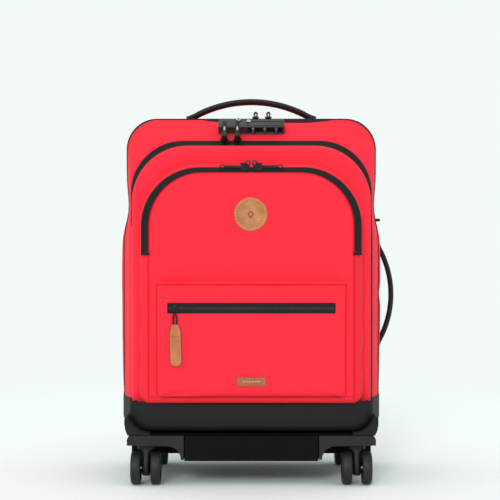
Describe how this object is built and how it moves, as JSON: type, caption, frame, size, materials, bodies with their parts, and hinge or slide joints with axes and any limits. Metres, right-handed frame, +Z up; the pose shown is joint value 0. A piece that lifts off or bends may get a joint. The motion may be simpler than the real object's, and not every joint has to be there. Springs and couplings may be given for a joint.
{
  "type": "soft cabin suitcase",
  "caption": "Upright soft cabin suitcase with lids hinged at the base, front pockets, carry handles, a telescopic trolley and twin-wheel casters.",
  "frame": {"origin": "on the floor, under the middle of the whole box, side handle included", "axes": "+Z up, the front of the case faces -Y, +X to the right seen from the front"},
  "size_m": [0.4004, 0.2412, 0.55],
  "materials": {
    "red_fabric": "coated woven polyester, matt",
    "boot_fabric": "black coated ballistic fabric",
    "zip_tape": "woven zip tape with moulded coil",
    "black_plastic": "fine moulded grain",
    "lock_plastic": "satin black",
    "handle_strap": "soft-touch black",
    "leather": "tan, fine grain",
    "black_metal": "black lacquered zinc",
    "steel": "brushed",
    "aluminium": "satin anodised",
    "wheel_tread": "hard grey-black polyurethane"
  },
  "bodies": {
    "case": {"rear_shell": "red_fabric", "rear_boot": "boot_fabric", "base_pan": "black_plastic", "trolley_cup": "black_plastic", "trolley_outer_tube_left": "aluminium", "trolley_outer_tube_right": "aluminium", "top_handle_end_left": "black_plastic", "top_handle_end_right": "black_plastic", "side_handle_end_low": "black_plastic", "side_handle_end_high": "black_plastic", "wheel_housing_front_left": "black_plastic", "wheel_housing_front_right": "black_plastic", "wheel_housing_rear_left": "black_plastic", "wheel_housing_rear_right": "black_plastic"},
    "trolley": {"trolley_inner_tube_left": "aluminium", "trolley_inner_tube_right": "aluminium", "trolley_grip": "black_plastic"},
    "trolley_button": {"trolley_button": "black_plastic"},
    "top_handle": {"top_handle": "handle_strap"},
    "side_handle": {"side_handle": "handle_strap"},
    "main_lid": {"middle_shell": "red_fabric", "middle_boot": "boot_fabric", "lock_body": "lock_plastic"},
    "lock_dial_1": {"lock_dial_1": "lock_plastic"},
    "lock_dial_2": {"lock_dial_2": "lock_plastic"},
    "lock_dial_3": {"lock_dial_3": "lock_plastic"},
    "lock_button": {"lock_button": "steel"},
    "lock_cylinder": {"lock_cylinder": "steel"},
    "lid_zip_puller_1": {"lid_zip_puller_1": "black_metal"},
    "lid_zip_puller_2": {"lid_zip_puller_2": "black_metal"},
    "main_zip_puller_1": {"main_zip_puller_1": "black_metal"},
    "main_zip_puller_2": {"main_zip_puller_2": "black_metal"},
    "front_lid": {"front_shell": "red_fabric", "front_boot": "boot_fabric", "organiser_shell": "red_fabric", "front_pocket": "red_fabric", "pocket_zip": "zip_tape", "pocket_label": "leather"},
    "organiser_flap": {"organiser_flap": "red_fabric", "round_patch": "leather"},
    "organiser_slider_left": {"organiser_slider_left": "black_metal"},
    "organiser_slider_right": {"organiser_slider_right": "black_metal"},
    "pocket_slider": {"pocket_slider": "black_metal"},
    "pocket_pull": {"pocket_pull": "leather"},
    "caster_front_left": {"caster_fork_front_left": "black_plastic", "caster_axle_front_left": "steel"},
    "wheel_front_left_a": {"wheel_front_left_a": "wheel_tread"},
    "wheel_front_left_b": {"wheel_front_left_b": "wheel_tread"},
    "caster_front_right": {"caster_fork_front_right": "black_plastic", "caster_axle_front_right": "steel"},
    "wheel_front_right_a": {"wheel_front_right_a": "wheel_tread"},
    "wheel_front_right_b": {"wheel_front_right_b": "wheel_tread"},
    "caster_rear_left": {"caster_fork_rear_left": "black_plastic", "caster_axle_rear_left": "steel"},
    "wheel_rear_left_a": {"wheel_rear_left_a": "wheel_tread"},
    "wheel_rear_left_b": {"wheel_rear_left_b": "wheel_tread"},
    "caster_rear_right": {"caster_fork_rear_right": "black_plastic", "caster_axle_rear_right": "steel"},
    "wheel_rear_right_a": {"wheel_rear_right_a": "wheel_tread"},
    "wheel_rear_right_b": {"wheel_rear_right_b": "wheel_tread"}
  },
  "joints": [
    {"name": "main_lid_hinge", "type": "hinge", "parent": "case", "child": "main_lid", "pos_m": [-0.0127, -0.0945, 0.0715], "axis": [1, 0, 0], "range_deg": [0, 90]},
    {"name": "front_lid_hinge", "type": "hinge", "parent": "main_lid", "child": "front_lid", "pos_m": [-0.0127, -0.0945, 0.0715], "axis": [-1, 0, 0], "range_deg": [-90, 0]},
    {"name": "organiser_flap_hinge", "type": "hinge", "parent": "front_lid", "child": "organiser_flap", "pos_m": [-0.0127, -0.1033, 0.324], "axis": [1, 0, 0], "range_deg": [0, 110]},
    {"name": "organiser_slider_left_slide", "type": "slide", "parent": "front_lid", "child": "organiser_slider_left", "axis": [1, 0, 0], "range_m": [-0.05, 0]},
    {"name": "organiser_slider_right_slide", "type": "slide", "parent": "front_lid", "child": "organiser_slider_right", "axis": [1, 0, 0], "range_m": [0, 0.05]},
    {"name": "pocket_slider_slide", "type": "slide", "parent": "front_lid", "child": "pocket_slider", "axis": [1, 0, 0], "range_m": [0, 0.2]},
    {"name": "pocket_pull_swing", "type": "hinge", "parent": "pocket_slider", "child": "pocket_pull", "pos_m": [-0.1189, -0.1186, 0.2415], "axis": [-1, 0, 0], "range_deg": [0, 80]},
    {"name": "lock_dial_1_turn", "type": "hinge", "parent": "main_lid", "child": "lock_dial_1", "pos_m": [-0.0102, -0.03946, 0.50232], "axis": [1, 0, 0], "continuous": true},
    {"name": "lock_dial_2_turn", "type": "hinge", "parent": "main_lid", "child": "lock_dial_2", "pos_m": [0.0063, -0.03946, 0.50232], "axis": [1, 0, 0], "continuous": true},
    {"name": "lock_dial_3_turn", "type": "hinge", "parent": "main_lid", "child": "lock_dial_3", "pos_m": [0.0228, -0.03946, 0.50232], "axis": [1, 0, 0], "continuous": true},
    {"name": "lock_button_press", "type": "slide", "parent": "main_lid", "child": "lock_button", "axis": [0, 0.6691, -0.7431], "range_m": [0, 0.001], "stiffness_N_per_m": 400},
    {"name": "lock_cylinder_turn", "type": "hinge", "parent": "main_lid", "child": "lock_cylinder", "pos_m": [-0.031, -0.03792, 0.51555], "axis": [0, -0.6691, 0.7431], "range_deg": [0, 90]},
    {"name": "lid_zip_puller_1_swing", "type": "hinge", "parent": "main_lid", "child": "lid_zip_puller_1", "pos_m": [-0.051, -0.05693, 0.4839], "axis": [1, 0, 0], "range_deg": [0, 65]},
    {"name": "lid_zip_puller_2_swing", "type": "hinge", "parent": "main_lid", "child": "lid_zip_puller_2", "pos_m": [-0.0327, -0.05693, 0.4839], "axis": [1, 0, 0], "range_deg": [0, 65]},
    {"name": "main_zip_puller_1_swing", "type": "hinge", "parent": "main_lid", "child": "main_zip_puller_1", "pos_m": [-0.0064, -0.01531, 0.52138], "axis": [-1, 0, 0], "range_deg": [0, 120]},
    {"name": "main_zip_puller_2_swing", "type": "hinge", "parent": "main_lid", "child": "main_zip_puller_2", "pos_m": [0.0119, -0.01531, 0.52138], "axis": [-1, 0, 0], "range_deg": [0, 120]},
    {"name": "trolley_slide", "type": "slide", "parent": "case", "child": "trolley", "axis": [0, 0, 1], "range_m": [0, 0.36]},
    {"name": "trolley_button_press", "type": "slide", "parent": "trolley", "child": "trolley_button", "axis": [0, 0, -1], "range_m": [0, 0.0012], "stiffness_N_per_m": 600},
    {"name": "top_handle_tilt", "type": "hinge", "parent": "case", "child": "top_handle", "pos_m": [-0.0127, 0.0255, 0.5265], "axis": [1, 0, 0], "range_deg": [-30, 30], "stiffness_Nm_per_rad": 0.4},
    {"name": "side_handle_tilt", "type": "hinge", "parent": "case", "child": "side_handle", "pos_m": [0.1815, 0.0505, 0.26], "axis": [0, 0, 1], "range_deg": [-30, 30], "stiffness_Nm_per_rad": 0.4},
    {"name": "caster_front_left_swivel", "type": "hinge", "parent": "case", "child": "caster_front_left", "pos_m": [-0.1607, -0.0825, 0.055], "axis": [0, 0, 1], "continuous": true},
    {"name": "wheel_front_left_a_roll", "type": "hinge", "parent": "caster_front_left", "child": "wheel_front_left_a", "pos_m": [-0.1747, -0.0925, 0.023], "axis": [1, 0, 0], "continuous": true},
    {"name": "wheel_front_left_b_roll", "type": "hinge", "parent": "caster_front_left", "child": "wheel_front_left_b", "pos_m": [-0.1467, -0.0925, 0.023], "axis": [1, 0, 0], "continuous": true},
    {"name": "caster_front_right_swivel", "type": "hinge", "parent": "case", "child": "caster_front_right", "pos_m": [0.1353, -0.0825, 0.055], "axis": [0, 0, 1], "continuous": true},
    {"name": "wheel_front_right_a_roll", "type": "hinge", "parent": "caster_front_right", "child": "wheel_front_right_a", "pos_m": [0.1213, -0.0925, 0.023], "axis": [1, 0, 0], "continuous": true},
    {"name": "wheel_front_right_b_roll", "type": "hinge", "parent": "caster_front_right", "child": "wheel_front_right_b", "pos_m": [0.1493, -0.0925, 0.023], "axis": [1, 0, 0], "continuous": true},
    {"name": "caster_rear_left_swivel", "type": "hinge", "parent": "case", "child": "caster_rear_left", "pos_m": [-0.1607, 0.0855, 0.055], "axis": [0, 0, 1], "continuous": true},
    {"name": "wheel_rear_left_a_roll", "type": "hinge", "parent": "caster_rear_left", "child": "wheel_rear_left_a", "pos_m": [-0.1747, 0.0755, 0.023], "axis": [1, 0, 0], "continuous": true},
    {"name": "wheel_rear_left_b_roll", "type": "hinge", "parent": "caster_rear_left", "child": "wheel_rear_left_b", "pos_m": [-0.1467, 0.0755, 0.023], "axis": [1, 0, 0], "continuous": true},
    {"name": "caster_rear_right_swivel", "type": "hinge", "parent": "case", "child": "caster_rear_right", "pos_m": [0.1353, 0.0855, 0.055], "axis": [0, 0, 1], "continuous": true},
    {"name": "wheel_rear_right_a_roll", "type": "hinge", "parent": "caster_rear_right", "child": "wheel_rear_right_a", "pos_m": [0.1213, 0.0755, 0.023], "axis": [1, 0, 0], "continuous": true},
    {"name": "wheel_rear_right_b_roll", "type": "hinge", "parent": "caster_rear_right", "child": "wheel_rear_right_b", "pos_m": [0.1493, 0.0755, 0.023], "axis": [1, 0, 0], "continuous": true}
  ]
}
